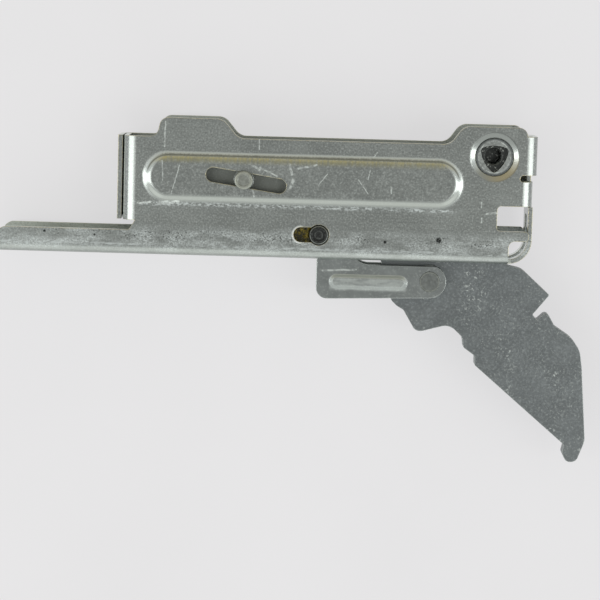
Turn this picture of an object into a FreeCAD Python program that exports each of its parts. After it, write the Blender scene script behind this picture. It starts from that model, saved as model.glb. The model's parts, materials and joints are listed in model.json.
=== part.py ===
"""Oven door hinge: a folded sheet channel, a claw that swings on two carrier plates, and a sprung slide.

The hinge lies on its side. X runs along the channel, Y points to the channel's open edge and Z is up,
across the channel's width. The origin is on the axis of the threaded spacer, midway between the walls.
"""
import FreeCAD, Part
import math
import os

import Sketcher

Vector = FreeCAD.Vector

# How far an edge may leave a level and still count as lying flat on it.
FLAT = 0.01

# Driving dimensions, in millimetres and degrees.
SIZES = {
    # Folded channel
    "sheet": 1.25,
    "half_width": 9.0,
    "bend_radius": 2.5,
    "web_level": -29.8,
    "top_edge": 3.2,
    "left_bump_height": 8.5,
    "left_bump_foot": -93.7,
    "left_bump_start": -92.5,
    "left_bump_end": -75.4,
    "left_bump_tail": -71.0,
    "right_bump_height": 8.3,
    "right_bump_foot": -12.4,
    "right_bump_start": -8.7,
    "right_bump_corner": 2.5,
    "bump_blend": 3.8,
    "steep_bump_blend": 2.4,
    "main_left": -99.3,
    "tail_end": -138.0,
    "tail_top": -22.9,
    "tail_corner": 3.0,
    "notch_slant": 1.7,
    # Flanges folded over the left end
    "left_fold_radius": 3.6,
    "front_left_face": -102.9,
    "back_left_face": -104.6,
    "left_flange_top": 3.2,
    "left_flange_bottom": -20.2,
    "flange_reach": 14.4,
    # Flanges folded over the right end
    "right_fold_radius": 3.0,
    "upper_flange_face": 12.0,
    "lower_flange_face": 11.0,
    "flange_gap": 0.1,
    "upper_flange_top": 5.8,
    "upper_flange_bottom": -4.9,
    "lower_flange_top": -6.7,
    "lower_flange_bottom": -13.6,
    "relief_start": 7.3,
    # Window, tongue and end plate at the right end
    "window_left": 1.3,
    "window_bottom": -20.5,
    "window_corner": 1.0,
    "tongue_bottom": -23.3,
    "tongue_end": 10.3,
    "wall_foot_end": 4.8,
    "foot_corner": 1.7,
    "end_plate_face": 11.35,
    "end_plate_radius": 6.5,
    "end_plate_top": -13.9,
    # Embossed bead on each wall
    "bead_left": -97.0,
    "bead_right": -8.7,
    "bead_top": -1.0,
    "bead_bottom": -14.6,
    "bead_height": 0.8,
    "bead_slope": 1.6,
    "bead_round": 2.5,
    # Guide slot, along which the slide runs
    "guide_x": -69.3,
    "guide_y": -8.2,
    "slide_angle": 8.4,
    "guide_slot_left": 8.6,
    "guide_slot_right": 9.9,
    "guide_slot_width": 4.1,
    # Keyhole and the pin that holds the carriers
    "carrier_pin_x": -48.1,
    "carrier_pin_y": -23.0,
    "carrier_pin_radius": 2.7,
    "carrier_pin_stand": 0.5,
    "carrier_pin_chamfer": 0.5,
    "carrier_pin_recess": 1.7,
    "carrier_pin_recess_depth": 0.5,
    "keyhole_play": 0.2,
    "keyhole_run": 5.0,
    "keyhole_neck": 4.2,
    # Slots in the web
    "carrier_slot_half": 6.0,
    "drive_slot_half": 6.5,
    "drive_slot_left": -31.7,
    "drive_slot_right": -2.5,
    "claw_slot_play": 0.7,
    "claw_slot_top": -16.2,
    # Threaded spacer between the walls
    "dimple_radius": 6.75,
    "dimple_depth": 0.6,
    "dimple_round": 1.2,
    "spacer_hole_radius": 5.4,
    "spacer_radius": 6.4,
    "spacer_bore_radius": 2.5,
    "spacer_bore_end": 4.0,
    "lobe_radius": 1.0,
    "lobe_offset": 3.3,
    "lobe_side": 3.2,
    "lobe_depth": 3.0,
    "spacer_neck_play": 0.25,
    # Carrier plates
    "carrier_gap": 2.8,
    "carrier_thickness": 1.8,
    "carrier_left": -48.4,
    "carrier_bottom": -41.2,
    "carrier_top": -31.4,
    "carrier_corner": 3.0,
    "carrier_end_radius": 4.6,
    "carrier_eye_radius": 4.3,
    "carrier_neck_right": -39.0,
    "carrier_neck_radius": 5.3,
    "carrier_slot_play": 0.3,
    "carrier_bead_left": -44.8,
    "carrier_bead_right": -22.9,
    "carrier_bead_top": -34.2,
    "carrier_bead_bottom": -38.3,
    "carrier_bead_height": 0.6,
    "carrier_bead_slope": 0.9,
    "carrier_bead_round": 0.7,
    "carrier_bush_radius": 4.0,
    # Claw and its bearing
    "pivot_x": -16.6,
    "pivot_y": -35.7,
    "pivot_rivet_radius": 2.85,
    "pivot_rivet_stand": 0.15,
    "claw_thickness": 4.0,
    "claw_bush_radius": 4.4,
    "claw_side_play": 0.05,
    "pivot_washer_radius": 4.6,
    "heel_radius": 15.4,
    "heel_right_angle": 45.0,
    "heel_left_angle": 156.0,
    # Drive between claw and slide
    "drive_radius": 10.4,
    "drive_middle_angle": -7.0,
    "drive_half_swing": 45.0,
    "drive_roller_radius": 2.6,
    "drive_pin_radius": 1.6,
    "drive_play": 0.15,
    # Slide
    "slide_gap": 5.0,
    "slide_thickness": 1.2,
    "slide_bar_radius": 4.6,
    "slide_bar_left": 9.0,
    "slide_bar_right": 33.5,
    "slide_arm_radius": 3.6,
    "guide_shank_radius": 1.9,
    "guide_head_radius": 2.6,
    "guide_head_height": 1.15,
    "guide_head_round": 0.4,
    "guide_head_dish": 1.6,
    "guide_dish_depth": 0.12,
    "guide_side_play": 0.25,
    "guide_bush_radius": 2.8,
    "guide_sleeve_radius": 3.0,
    # Spring and what holds it
    "spring_mean_radius": 3.65,
    "spring_wire_radius": 0.8,
    "spring_turns": 7.0,
    "spring_start": 5.0,
    "plunger_collar_radius": 4.4,
    "plunger_collar_start": 1.5,
    "plunger_rod_radius": 2.2,
    "plunger_rod_length": 12.0,
    "cup_radius": 5.0,
    "cup_floor": 1.0,
    "cup_lip": 1.6,
    "cup_lip_wall": 0.35,
    # Fits
    "fit_play": 0.02,
    "running_play": 0.05,
}

# The claw's outline below its heel, clockwise from the heel's left end: x, y and corner radius.
CLAW_EDGE = [
    (-27.1, -41.5, 2.0),
    (-25.5, -43.0, 1.0),
    (-23.6, -44.1, 1.4),
    (-20.1, -50.0, 2.2),
    (-18.2, -50.0, 4.0),
    (-10.5, -47.9, 4.0),
    (-6.75, -51.4, 2.4),
    (-6.35, -54.3, 1.2),
    (-3.05, -56.6, 0.9),
    (-3.05, -59.2, 1.2),
    (23.2, -81.4, 0.6),
    (22.7, -83.6, 1.0),
    (24.0, -86.3, 1.4),
    (26.8, -86.3, 2.0),
    (29.1, -80.2, 5.0),
    (27.4, -59.5, 12.0),
    (26.7, -54.4, 7.0),
    (24.1, -50.7, 7.0),
    (19.2, -47.5, 1.2),
    (16.8, -43.4, 1.0),
    (14.1, -46.0, 0.5),
    (12.9, -44.4, 0.3),
    (17.4, -38.8, 0.3),
    (9.4, -31.6, 4.0),
    (5.2, -30.7, 8.0),
]

document = FreeCAD.newDocument("oven_door_hinge")
sheet = document.addObject("Spreadsheet::Sheet", "Sizes")
for row, (alias, value) in enumerate(SIZES.items(), start=1):
    sheet.set(f"A{row}", alias)
    sheet.set(f"B{row}", str(value))
    sheet.setAlias(f"B{row}", alias)
document.recompute()

pieces = []


def size(alias):
    """The value of one driving dimension."""
    return float(sheet.get(alias))


def cell(alias):
    """The expression that names one driving dimension."""
    return f"Sizes.{alias}"


def new_body(label):
    """An empty body for one piece, which is written out under its label."""
    body = document.addObject("PartDesign::Body", label)
    body.Label = label
    pieces.append(body)
    return body


def place_on(body, x_alias, y_alias):
    """Moves a body that was drawn about the origin onto an axis across the channel."""
    body.setExpression("Placement.Base.x", cell(x_alias))
    body.setExpression("Placement.Base.y", cell(y_alias))


def rounded(corners):
    """A closed outline through corners (x, y, radius), as straight edges joined by tangent arcs."""
    edges = []
    count = len(corners)
    spans = []
    for index, (x, y, radius) in enumerate(corners):
        corner = Vector(x, y, 0)
        before = Vector(*corners[index - 1][:2], 0) - corner
        after = Vector(*corners[(index + 1) % count][:2], 0) - corner
        before.normalize()
        after.normalize()
        half = before.getAngle(after) / 2
        reach = radius / math.tan(half)
        first = corner + before * reach
        last = corner + after * reach
        spans.append((first, last))
        if radius > 0:
            middle_line = before + after
            middle_line.normalize()
            centre = corner + middle_line * (radius / math.sin(half))
            edges.append(Part.Arc(first, centre - middle_line * radius, last))
    for index in range(count):
        start = spans[index][1]
        end = spans[(index + 1) % count][0]
        if start.distanceToPoint(end) > 1e-6:
            edges.append(Part.LineSegment(start, end))
    return edges


def rectangle(left, bottom, right, top, radius=0.0):
    """A rectangle with equal corner radii."""
    corners = ((left, bottom), (right, bottom), (right, top), (left, top))
    return rounded([(x, y, radius) for x, y in corners])


def stadium(start, end, radius):
    """A slot shape: two half circles joined by straight edges."""
    along = end - start
    along.normalize()
    across = Vector(-along.y, along.x, 0) * radius
    tip = along * radius
    return [
        Part.LineSegment(start + across, end + across),
        Part.Arc(end + across, end + tip, end - across),
        Part.LineSegment(end - across, start - across),
        Part.Arc(start - across, start - tip, start + across),
    ]


def disc(x, y, radius):
    """A full circle."""
    return [Part.Circle(Vector(x, y, 0), Vector(0, 0, 1), radius)]


def add_sketch(body, name, role, level, edges):
    """A sketch on one of the body's own planes, at a level given by an expression."""
    sketch = body.newObject("Sketcher::SketchObject", name)
    plane = [feature for feature in body.Origin.OriginFeatures if feature.Role == role][0]
    sketch.AttachmentSupport = [(plane, "")]
    sketch.MapMode = "FlatFace"
    sketch.setExpression("AttachmentOffset.Base.z", level)
    sketch.addGeometry(edges, False)
    document.recompute()
    return sketch


def pad(body, name, role, level, edges, length):
    """Adds an outline, drawn at a level, along its plane's normal."""
    sketch = add_sketch(body, name + "_outline", role, level, edges)
    feature = body.newObject("PartDesign::Pad", name)
    feature.Profile = sketch
    feature.setExpression("Length", length)
    document.recompute()
    return feature


def pocket(body, name, role, level, edges, length):
    """Cuts an outline, drawn at a level, along its plane's normal, and makes sure that it cut something."""
    before = body.Shape.Volume
    sketch = add_sketch(body, name + "_outline", role, level, edges)
    feature = body.newObject("PartDesign::Pocket", name)
    feature.Profile = sketch
    feature.Reversed = True
    feature.setExpression("Length", length)
    document.recompute()
    if not body.Shape.Volume < before:
        raise RuntimeError(f"{name} cuts nothing")
    return feature


def loft(body, name, kind, near_level, near_edges, far_level, far_edges):
    """Adds or cuts the sloping form between two outlines on parallel planes."""
    near = add_sketch(body, name + "_near", "XY_Plane", near_level, near_edges)
    far = add_sketch(body, name + "_far", "XY_Plane", far_level, far_edges)
    feature = body.newObject(f"PartDesign::{kind}Loft", name)
    feature.Profile = near
    feature.Sections = [far]
    feature.Ruled = True
    document.recompute()
    return feature


def soften(body, name, levels, reach, radius):
    """Rounds the edges of a pressed form: those that lie flat at the levels, within a reach in side view."""
    left, bottom, right, top = reach
    base = body.Tip
    chosen = []
    for number, edge in enumerate(base.Shape.Edges, start=1):
        box = edge.BoundBox
        inside = box.XMin > left and box.XMax < right and box.YMin > bottom and box.YMax < top
        if inside and any(max(abs(box.ZMin - level), abs(box.ZMax - level)) < FLAT for level in levels):
            chosen.append(f"Edge{number}")
    feature = body.newObject("PartDesign::Fillet", name)
    feature.Base = (base, chosen)
    feature.setExpression("Radius", cell(radius))
    document.recompute()
    return feature


def turned(label, profile):
    """A turned piece about the Z axis, from a closed half profile of (radius, height) points."""
    body = new_body(label)
    sketch = add_sketch(body, label + "_profile", "XZ_Plane", "0", rounded(profile))
    feature = body.newObject("PartDesign::Revolution", label + "_turning")
    feature.Profile = sketch
    feature.ReferenceAxis = (sketch, ["V_Axis"])
    feature.Angle = 360
    document.recompute()
    return body


def ring(label, level, length, outer, inner):
    """A plain ring about the Z axis, with its radii bound to the given expressions."""
    body = new_body(label)
    sketch = add_sketch(body, label + "_outline", "XY_Plane", level, disc(0, 0, 2) + disc(0, 0, 1))
    for index, radius in enumerate((outer, inner)):
        sketch.addConstraint(Sketcher.Constraint("Coincident", index, 3, -1, 1))
        number = sketch.addConstraint(Sketcher.Constraint("Radius", index, 2 - index))
        sketch.setExpression(f"Constraints[{number}]", radius)
    feature = body.newObject("PartDesign::Pad", label + "_length")
    feature.Profile = sketch
    feature.setExpression("Length", length)
    document.recompute()
    return body


def slide_direction():
    """The direction in which the slide runs, to the right and slightly down."""
    angle = math.radians(size("slide_angle"))
    return Vector(math.cos(angle), -math.sin(angle), 0)


def guide_axis():
    """Where the guide rivet stands."""
    return Vector(size("guide_x"), size("guide_y"), 0)


def drive_axis():
    """Where the drive pin stands: on the slide's line that is tangent to the claw's drive circle."""
    along = slide_direction()
    across = Vector(-along.y, along.x, 0)
    pivot = Vector(size("pivot_x"), size("pivot_y"), 0)
    offset = size("drive_radius") * math.radians(size("drive_middle_angle"))
    return pivot + across * size("drive_radius") + along * offset


def wall_outline():
    """The side view of the channel's walls and web, without the folded flanges."""
    below = size("web_level") - size("sheet")
    blend = size("bump_blend")
    steep = size("steep_bump_blend")
    upper_end = size("upper_flange_face") - size("right_fold_radius")
    lower_end = size("lower_flange_face") - size("right_fold_radius")
    relief_round = (size("upper_flange_bottom") - size("lower_flange_top")) / 2.05
    return rounded([
        (size("tail_end"), below, 0),
        (size("tail_end"), size("tail_top"), size("tail_corner")),
        (size("main_left") - size("notch_slant"), size("tail_top"), size("sheet") / 2),
        (size("main_left"), size("left_flange_bottom"), 0),
        (size("main_left"), size("top_edge"), 0),
        (size("left_bump_foot"), size("top_edge"), steep),
        (size("left_bump_start"), size("left_bump_height"), steep),
        (size("left_bump_end"), size("left_bump_height"), blend),
        (size("left_bump_tail"), size("top_edge"), blend),
        (size("right_bump_foot"), size("top_edge"), blend),
        (size("right_bump_start"), size("right_bump_height"), blend),
        (upper_end, size("right_bump_height"), size("right_bump_corner")),
        (upper_end, size("upper_flange_bottom"), 0),
        (size("relief_start"), size("upper_flange_bottom"), relief_round),
        (size("relief_start"), size("lower_flange_top"), relief_round),
        (lower_end, size("lower_flange_top"), 0),
        (lower_end, size("lower_flange_bottom"), 0),
        (size("window_left"), size("lower_flange_bottom"), size("window_corner")),
        (size("window_left"), size("window_bottom"), size("window_corner")),
        (size("tongue_end"), size("window_bottom"), size("window_corner")),
        (size("tongue_end"), size("tongue_bottom"), size("window_corner")),
        (size("wall_foot_end"), size("tongue_bottom"), size("foot_corner")),
        (size("wall_foot_end"), below, 0),
    ])


def u_section():
    """The channel's folded section across its length, open at the top, as one closed outline."""
    top = max(size("left_bump_height"), size("right_bump_height"))
    outer = size("half_width")
    inner = outer - size("sheet")
    level = size("web_level")
    floor = level + size("sheet")
    bend = size("bend_radius")
    inside_bend = bend - size("sheet")
    return rounded([
        (top, outer, 0),
        (level, outer, bend),
        (level, -outer, bend),
        (top, -outer, 0),
        (top, -inner, 0),
        (floor, -inner, inside_bend),
        (floor, inner, inside_bend),
        (top, inner, 0),
    ])


def add_flange(body, name, side, wall_end, face, radius, top, bottom):
    """A strip of wall folded inward round an end of the channel; face is the strip's outer plane."""
    sheet_size = size("sheet")
    outer = size("half_width")
    heading = math.copysign(1, face - wall_end)
    inner_face = face - heading * sheet_size
    tip = outer - size("flange_reach")
    edges = rounded([
        (wall_end, side * outer, 0),
        (face, side * outer, radius),
        (face, side * tip, 0),
        (inner_face, side * tip, 0),
        (inner_face, side * (outer - sheet_size), radius - sheet_size),
        (wall_end, side * (outer - sheet_size), 0),
    ])
    pad(body, name, "XZ_Plane", f"-({cell(top)})", edges, f"{cell(top)} - ({cell(bottom)})")


def add_wall_flanges(body):
    """The folded ends: the back wall's flange lies outside at the left end, and inside at the right end."""
    upper_end = size("upper_flange_face") - size("right_fold_radius")
    lower_end = size("lower_flange_face") - size("right_fold_radius")
    step = size("sheet") + size("flange_gap")
    left = size("main_left")
    left_radius = size("left_fold_radius")
    right_radius = size("right_fold_radius")
    upper = ("upper_flange_top", "upper_flange_bottom")
    lower = ("lower_flange_top", "lower_flange_bottom")
    ends = ("left_flange_top", "left_flange_bottom")
    add_flange(body, "front_left_flange", 1, left, size("front_left_face"), left_radius, *ends)
    add_flange(body, "back_left_flange", -1, left, size("back_left_face"), left_radius, *ends)
    add_flange(body, "front_upper_flange", 1, upper_end, size("upper_flange_face"), right_radius, *upper)
    inside_face = size("upper_flange_face") - step
    add_flange(body, "back_upper_flange", -1, upper_end, inside_face, right_radius - step, *upper)
    add_flange(body, "front_lower_flange", 1, lower_end, size("lower_flange_face"), right_radius, *lower)
    inside_face = size("lower_flange_face") - step
    add_flange(body, "back_lower_flange", -1, lower_end, inside_face, right_radius - step, *lower)


def add_end_plate(body):
    """The web runs on past the walls and curves up into a plate across the right end."""
    face = size("end_plate_face")
    radius = size("end_plate_radius")
    level = size("web_level")
    start = size("wall_foot_end") - size("sheet")
    inner_face = face - size("sheet")
    edges = rounded([
        (start, level, 0),
        (face, level, radius),
        (face, size("end_plate_top"), 0),
        (inner_face, size("end_plate_top"), 0),
        (inner_face, level + size("sheet"), radius - size("sheet")),
        (start, level + size("sheet"), 0),
    ])
    half = f"({cell('half_width')} - {cell('bend_radius')})"
    pad(body, "end_plate", "XY_Plane", f"-{half}", edges, f"2 * {half}")


def bead_outline(inset):
    """The bead's outline in side view, made smaller by an inset."""
    radius = (size("bead_top") - size("bead_bottom")) / 2
    middle = (size("bead_top") + size("bead_bottom")) / 2
    start = Vector(size("bead_left") + radius, middle, 0)
    end = Vector(size("bead_right") - radius, middle, 0)
    return stadium(start, end, radius - inset)


def sheet_levels(sign, rise):
    """The levels of one wall's two faces, and of the same faces pressed outward by a rise."""
    outer = size("half_width")
    inner = outer - size("sheet")
    return [sign * level for level in (outer, inner, outer + rise, inner + rise)]


def add_bead(body, name, sign):
    """Presses one wall outward into a long bead of even thickness."""
    outer = f"{sign} * {cell('half_width')}"
    inner = f"{sign} * ({cell('half_width')} - {cell('sheet')})"
    rise = f"{sign} * {cell('bead_height')}"
    foot = bead_outline(0)
    crest = bead_outline(size("bead_slope"))
    loft(body, name + "_raise", "Additive", outer, foot, f"{outer} + {rise}", crest)
    loft(body, name + "_hollow", "Subtractive", inner, foot, f"{inner} + {rise}", crest)
    margin = size("sheet") / 2
    reach = (size("bead_left") - margin, size("bead_bottom") - margin,
             size("bead_right") + margin, size("bead_top") + margin)
    soften(body, name + "_round", sheet_levels(sign, size("bead_height")), reach, "bead_round")


def add_dimple(body, name, sign):
    """Presses one wall inward round the spacer's hole."""
    outer = f"{sign} * {cell('half_width')}"
    inner = f"{sign} * ({cell('half_width')} - {cell('sheet')})"
    sink = f"{sign} * {cell('dimple_depth')}"
    rim = disc(0, 0, size("dimple_radius"))
    hole = disc(0, 0, size("spacer_hole_radius"))
    loft(body, name + "_raise", "Additive", inner, rim, f"{inner} - {sink}", hole)
    loft(body, name + "_hollow", "Subtractive", outer, rim, f"{outer} - {sink}", hole)
    margin = size("dimple_radius") + FLAT
    soften(body, name + "_round", sheet_levels(sign, 0), (-margin, -margin, margin, margin), "dimple_round")


def cut_wall_openings(body):
    """The guide slot, the keyhole and the spacer's hole, through both walls."""
    reach = f"({cell('half_width')} + 2 * {cell('bead_height')})"
    along = slide_direction()
    guide = guide_axis()
    slot = stadium(guide - along * size("guide_slot_left"), guide + along * size("guide_slot_right"),
                   size("guide_slot_width") / 2)
    pin = Vector(size("carrier_pin_x"), size("carrier_pin_y"), 0)
    neck = stadium(pin - Vector(size("keyhole_run"), 0, 0), pin, size("keyhole_neck") / 2)
    eye = disc(pin.x, pin.y, size("carrier_pin_radius") + size("keyhole_play"))
    hole = disc(0, 0, size("spacer_hole_radius"))
    openings = {"guide_slot": slot, "keyhole_neck": neck, "keyhole_eye": eye, "spacer_hole": hole}
    for name, edges in openings.items():
        pocket(body, name, "XY_Plane", f"-{reach}", edges, f"2 * {reach}")


def cut_web_openings(body):
    """Slots in the web for the carriers and for the slide's arms and claw, and one in the end plate."""
    level = f"-({cell('web_level')} + 2 * {cell('sheet')})"
    depth = f"3 * {cell('sheet')}"
    play = size("carrier_slot_play")
    carrier_half = size("carrier_slot_half")
    drive_half = size("drive_slot_half")
    claw_half = size("claw_thickness") / 2 + size("claw_slot_play")
    neck_drop = size("carrier_neck_radius") - (size("web_level") - size("carrier_top"))
    neck = size("carrier_neck_right") + size("carrier_neck_radius")
    neck = neck - math.sqrt(size("carrier_neck_radius") ** 2 - neck_drop ** 2)
    slots = (
        ("carrier_slot", rectangle(size("carrier_left") - play, -carrier_half, neck + play, carrier_half,
                                   play)),
        ("drive_slot", rectangle(size("drive_slot_left"), -drive_half, size("drive_slot_right"), drive_half,
                                 size("sheet"))),
        ("claw_slot", rectangle(size("drive_slot_right") - size("sheet"), -claw_half, size("wall_foot_end"),
                                claw_half)),
    )
    for name, edges in slots:
        pocket(body, name, "XZ_Plane", level, edges, depth)
    end_slot = rectangle(size("web_level") - size("sheet"), -claw_half, size("claw_slot_top"), claw_half)
    pocket(body, "end_plate_slot", "YZ_Plane", cell("wall_foot_end"), end_slot,
           f"{cell('end_plate_face')} - {cell('wall_foot_end')} + {cell('sheet')}")


def make_channel():
    """The folded sheet channel, from its section, its side view and its pressed and cut details."""
    body = new_body("channel")
    pad(body, "folded_section", "YZ_Plane", cell("tail_end"), u_section(),
        f"{cell('tongue_end')} - ({cell('tail_end')})")
    margin = 4 * size("sheet")
    frame = rectangle(size("tail_end") - margin, size("web_level") - margin, size("tongue_end") + margin,
                      size("left_bump_height") + margin)
    reach = f"({cell('half_width')} + {cell('sheet')})"
    pocket(body, "side_view", "XY_Plane", f"-{reach}", frame + wall_outline(), f"2 * {reach}")
    add_wall_flanges(body)
    add_end_plate(body)
    for name, sign in (("front", 1), ("back", -1)):
        add_bead(body, name + "_bead", sign)
        add_dimple(body, name + "_dimple", sign)
    cut_wall_openings(body)
    cut_web_openings(body)
    return body


def three_lobes():
    """The spacer's opening: three bulging sides joined by round corners, with one side at the top."""
    lobe = size("lobe_radius")
    offset = size("lobe_offset")
    side = size("lobe_side")
    away = (offset ** 2 - (side - lobe) ** 2) / (2 * (side - lobe) - offset)
    bulge = away + side

    def toward(angle, distance):
        turn = math.radians(angle)
        return Vector(distance * math.cos(turn), distance * math.sin(turn), 0)

    def touch(side_angle, corner_angle):
        """Where the side opposite one corner runs into another corner's arc."""
        centre = toward(side_angle, away)
        line = toward(corner_angle, offset) - centre
        line.normalize()
        return centre + line * bulge

    edges = []
    for angle in (30, 150, 270):
        before, after = angle - 120, angle + 120
        edges.append(Part.Arc(touch(after, angle), toward(angle, offset + lobe), touch(before, angle)))
        edges.append(Part.Arc(touch(angle, before), toward(angle, -side), touch(angle, after)))
    return edges


def make_threaded_spacer():
    """A shouldered sleeve between the walls: its necks fill the walls' holes, each end has a three-sided
    recess, and a blind bore for the thread runs in from the front."""
    body = new_body("threaded_spacer")
    shoulder = f"({cell('half_width')} - {cell('sheet')} - {cell('dimple_depth')})"
    end = f"({cell('half_width')} - {cell('dimple_depth')} - {cell('spacer_neck_play')})"
    neck = disc(0, 0, size("spacer_hole_radius") - size("spacer_neck_play"))
    bore = disc(0, 0, size("spacer_bore_radius"))
    sleeve = disc(0, 0, size("spacer_radius"))
    depth = cell("lobe_depth")
    pad(body, "spacer_sleeve", "XY_Plane", f"-{shoulder}", sleeve, f"2 * {shoulder}")
    pad(body, "spacer_neck", "XY_Plane", f"-{end}", neck, f"2 * {end}")
    pocket(body, "front_lobes", "XY_Plane", f"{end} - {depth}", three_lobes(), depth)
    pocket(body, "back_lobes", "XY_Plane", f"-{end}", three_lobes(), depth)
    pocket(body, "tapped_bore", "XY_Plane", f"-{cell('spacer_bore_end')}", bore,
           f"{end} + {cell('spacer_bore_end')}")
    return body


def carrier_outline():
    """A carrier's side view: a strap below the channel, with a neck that rises to an eye on the pin."""
    left = size("carrier_left")
    bottom = size("carrier_bottom")
    top = size("carrier_top")
    corner = size("carrier_corner")
    pivot = Vector(size("pivot_x"), size("pivot_y"), 0)
    end = size("carrier_end_radius")
    pin = Vector(size("carrier_pin_x"), size("carrier_pin_y"), 0)
    eye = size("carrier_eye_radius")
    neck = size("carrier_neck_radius")
    neck_right = size("carrier_neck_right")
    bend = Vector(neck_right + neck, top + neck, 0)
    slant = math.sqrt(0.5)
    foot = Vector(left, pin.y - math.sqrt(eye ** 2 - (left - pin.x) ** 2), 0)
    shoulder = pin + Vector(eye * slant, eye * slant, 0)
    neck_top = Vector(neck_right, bend.y, 0)
    strap_top = Vector(bend.x, top, 0)
    lower_end = Vector(pivot.x, pivot.y - end, 0)
    upper_rise = math.sqrt(end ** 2 - (top - pivot.y) ** 2)
    upper_end = Vector(pivot.x + upper_rise, top, 0)
    strap_left = Vector(left + corner, bottom, 0)
    side_low = Vector(left, bottom + corner, 0)
    corner_middle = Vector(left + corner * (1 - slant), bottom + corner * (1 - slant), 0)
    return [
        Part.LineSegment(side_low, foot),
        Part.Arc(foot, pin + Vector(-eye * slant, eye * slant, 0), shoulder),
        Part.LineSegment(shoulder, neck_top),
        Part.Arc(neck_top, bend + Vector(-neck * slant, -neck * slant, 0), strap_top),
        Part.LineSegment(strap_top, upper_end),
        Part.Arc(upper_end, pivot + Vector(end, 0, 0), lower_end),
        Part.LineSegment(lower_end, strap_left),
        Part.Arc(strap_left, corner_middle, side_low),
    ]


def carrier_bead(inset):
    """The outline of the bead pressed into a carrier, made smaller by an inset."""
    top = size("carrier_bead_top")
    bottom = size("carrier_bead_bottom")
    radius = (top - bottom) / 2
    middle = (top + bottom) / 2
    start = Vector(size("carrier_bead_left") + radius, middle, 0)
    end = Vector(size("carrier_bead_right") - radius, middle, 0)
    return stadium(start, end, radius - inset)


def make_carrier(label, sign):
    """One embossed carrier plate, on the side of the claw that the sign gives."""
    body = new_body(label)
    near = f"{sign} * {cell('carrier_gap')}"
    far = f"{sign} * ({cell('carrier_gap')} + {cell('carrier_thickness')})"
    low = near if sign > 0 else far
    rise = f"{sign} * {cell('carrier_bead_height')}"
    crest = carrier_bead(size("carrier_bead_slope"))
    pad(body, label + "_plate", "XY_Plane", low, carrier_outline(), cell("carrier_thickness"))
    loft(body, label + "_raise", "Additive", far, carrier_bead(0), f"{far} + {rise}", crest)
    loft(body, label + "_hollow", "Subtractive", near, carrier_bead(0), f"{near} + {rise}", crest)
    inside = size("carrier_gap")
    outside = inside + size("carrier_thickness")
    height = size("carrier_bead_height")
    levels = [sign * level for level in (inside, outside, inside + height, outside + height)]
    margin = size("carrier_bead_slope") / 2
    reach = (size("carrier_bead_left") - margin, size("carrier_bead_bottom") - margin,
             size("carrier_bead_right") + margin, size("carrier_bead_top") + margin)
    soften(body, label + "_round", levels, reach, "carrier_bead_round")
    play = size("fit_play")
    holes = disc(size("pivot_x"), size("pivot_y"), size("pivot_rivet_radius") + play)
    holes += disc(size("carrier_pin_x"), size("carrier_pin_y"), size("carrier_pin_radius") + play)
    pocket(body, label + "_holes", "XY_Plane", low, holes, cell("carrier_thickness"))
    return body


def make_carrier_pin():
    """The black pin through both walls and carriers, with chamfered ends and a recess in each end."""
    radius = size("carrier_pin_radius")
    end = size("half_width") + size("carrier_pin_stand")
    chamfer = size("carrier_pin_chamfer")
    recess = size("carrier_pin_recess")
    depth = size("carrier_pin_recess_depth")
    body = turned("carrier_pin", [
        (0, depth - end, 0),
        (recess, depth - end, 0),
        (recess, -end, 0),
        (radius - chamfer, -end, 0),
        (radius, chamfer - end, 0),
        (radius, end - chamfer, 0),
        (radius - chamfer, end, 0),
        (recess, end, 0),
        (recess, end - depth, 0),
        (0, end - depth, 0),
    ])
    place_on(body, "carrier_pin_x", "carrier_pin_y")
    return body


def make_carrier_spacers():
    """The sleeve between the carriers, and the bushes between carriers and walls, on the carrier pin."""
    inner = f"{cell('carrier_pin_radius')} + {cell('fit_play')}"
    outer = cell("carrier_bush_radius")
    near = cell("carrier_gap")
    far = f"({cell('carrier_gap')} + {cell('carrier_thickness')})"
    wall = f"({cell('half_width')} - {cell('sheet')})"
    spacers = [
        ring("carrier_sleeve", f"-{near}", f"2 * {near}", outer, inner),
        ring("front_carrier_bush", far, f"{wall} - {far}", outer, inner),
        ring("back_carrier_bush", f"-{wall}", f"{wall} - {far}", outer, inner),
    ]
    for body in spacers:
        place_on(body, "carrier_pin_x", "carrier_pin_y")


def make_pivot():
    """The claw's rivet, flush in the carriers, and a washer on each side of the claw."""
    stand = f"({cell('carrier_gap')} + {cell('carrier_thickness')} + {cell('pivot_rivet_stand')})"
    rivet = new_body("pivot_rivet")
    shank = disc(0, 0, size("pivot_rivet_radius"))
    pad(rivet, "pivot_rivet_shank", "XY_Plane", f"-{stand}", shank, f"2 * {stand}")
    inner = f"{cell('pivot_rivet_radius')} + {cell('fit_play')}"
    near = f"({cell('claw_thickness')} / 2 + {cell('claw_side_play')})"
    far = cell("carrier_gap")
    outer = cell("pivot_washer_radius")
    front = ring("front_pivot_washer", near, f"{far} - {near}", outer, inner)
    back = ring("back_pivot_washer", f"-{far}", f"{far} - {near}", outer, inner)
    for body in (rivet, front, back):
        place_on(body, "pivot_x", "pivot_y")


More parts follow.
